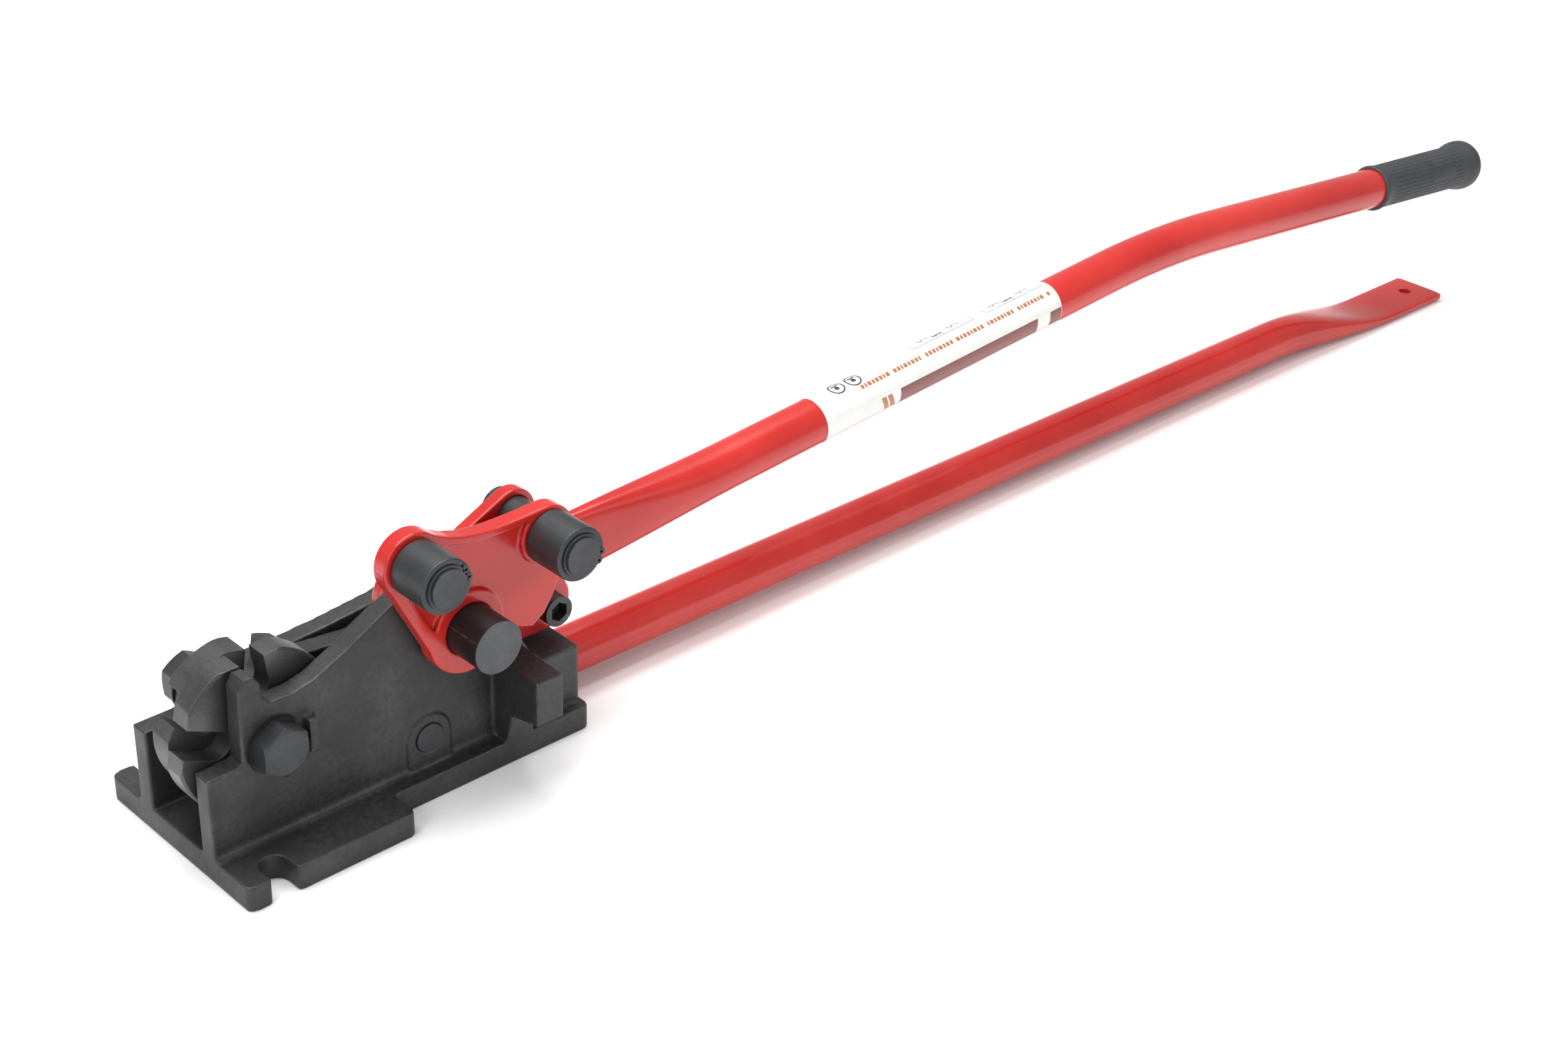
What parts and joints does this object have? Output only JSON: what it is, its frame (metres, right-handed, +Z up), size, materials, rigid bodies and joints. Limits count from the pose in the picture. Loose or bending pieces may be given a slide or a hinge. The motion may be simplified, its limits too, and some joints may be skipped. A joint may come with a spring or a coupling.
{
  "type": "rebar cutter and bender",
  "caption": "Hand-lever tool that cuts reinforcing bar between notched discs and bends it round a pin; cast base, long tube handle with rubber grip, flat-ended ground tube.",
  "frame": {"origin": "on the base's underside, directly below the cutter bolt", "axes": "+X towards the handle's grip, +Y across to the plain side, +Z up"},
  "size_m": [1.333, 0.168, 0.1933],
  "materials": {
    "dark_casting": "satin",
    "cutter_steel": "satin",
    "black_oxide": "satin",
    "red_enamel": "gloss",
    "grip_rubber": "matte",
    "label_film": "gloss"
  },
  "bodies": {
    "base": {"base_frame": "dark_casting", "cutter_bolt": "black_oxide", "cutter_washer": "black_oxide", "cutter_nut": "black_oxide", "tie_pin": "black_oxide", "cutter_dowel": "cutter_steel", "cutter_spacer": "cutter_steel", "thrust_washer": "black_oxide", "inner_thrust_washer": "black_oxide", "main_pin": "cutter_steel", "main_pin_circlip": "black_oxide", "fixed_cutter": "cutter_steel", "ground_tube": "red_enamel"},
    "cutter_arm": {"moving_cutter": "cutter_steel", "cutter_lever": "dark_casting", "lever_dowels": "cutter_steel"},
    "handle": {"near_plate": "red_enamel", "inner_plate": "red_enamel", "crank_plate": "red_enamel", "crank_pin": "cutter_steel", "front_roller_pin": "black_oxide", "rear_roller_pin": "black_oxide", "front_roller_circlip": "black_oxide", "rear_roller_circlip": "black_oxide", "rear_roller_inner_circlip": "black_oxide", "clamp_screw": "black_oxide", "clamp_nut": "black_oxide", "handle_bolt": "black_oxide", "handle_bolt_nut": "black_oxide", "handle_tube": "red_enamel", "label_sleeve": "label_film", "hand_grip": "grip_rubber"},
    "front_roller_body": {"front_roller": "black_oxide"},
    "rear_roller_body": {"rear_roller": "black_oxide"}
  },
  "joints": [
    {"name": "handle_swing", "type": "hinge", "parent": "base", "child": "handle", "pos_m": [0.132, 0, 0.113], "axis": [0, -1, 0], "range_deg": [0, 110]},
    {"name": "cutter_swing", "type": "hinge", "parent": "base", "child": "cutter_arm", "pos_m": [0, 0, 0.08], "axis": [0, -1, 0], "range_deg": [0, 17.2]},
    {"name": "front_roller_spin", "type": "hinge", "parent": "handle", "child": "front_roller_body", "pos_m": [0.0936, -0.072, 0.1718], "axis": [0, -1, 0], "continuous": true},
    {"name": "rear_roller_spin", "type": "hinge", "parent": "handle", "child": "rear_roller_body", "pos_m": [0.193, -0.072, 0.1562], "axis": [0, -1, 0], "continuous": true}
  ],
  "couplings": [
    {"joint": "cutter_swing", "follows": "handle_swing", "ratio": 0.15455}
  ]
}
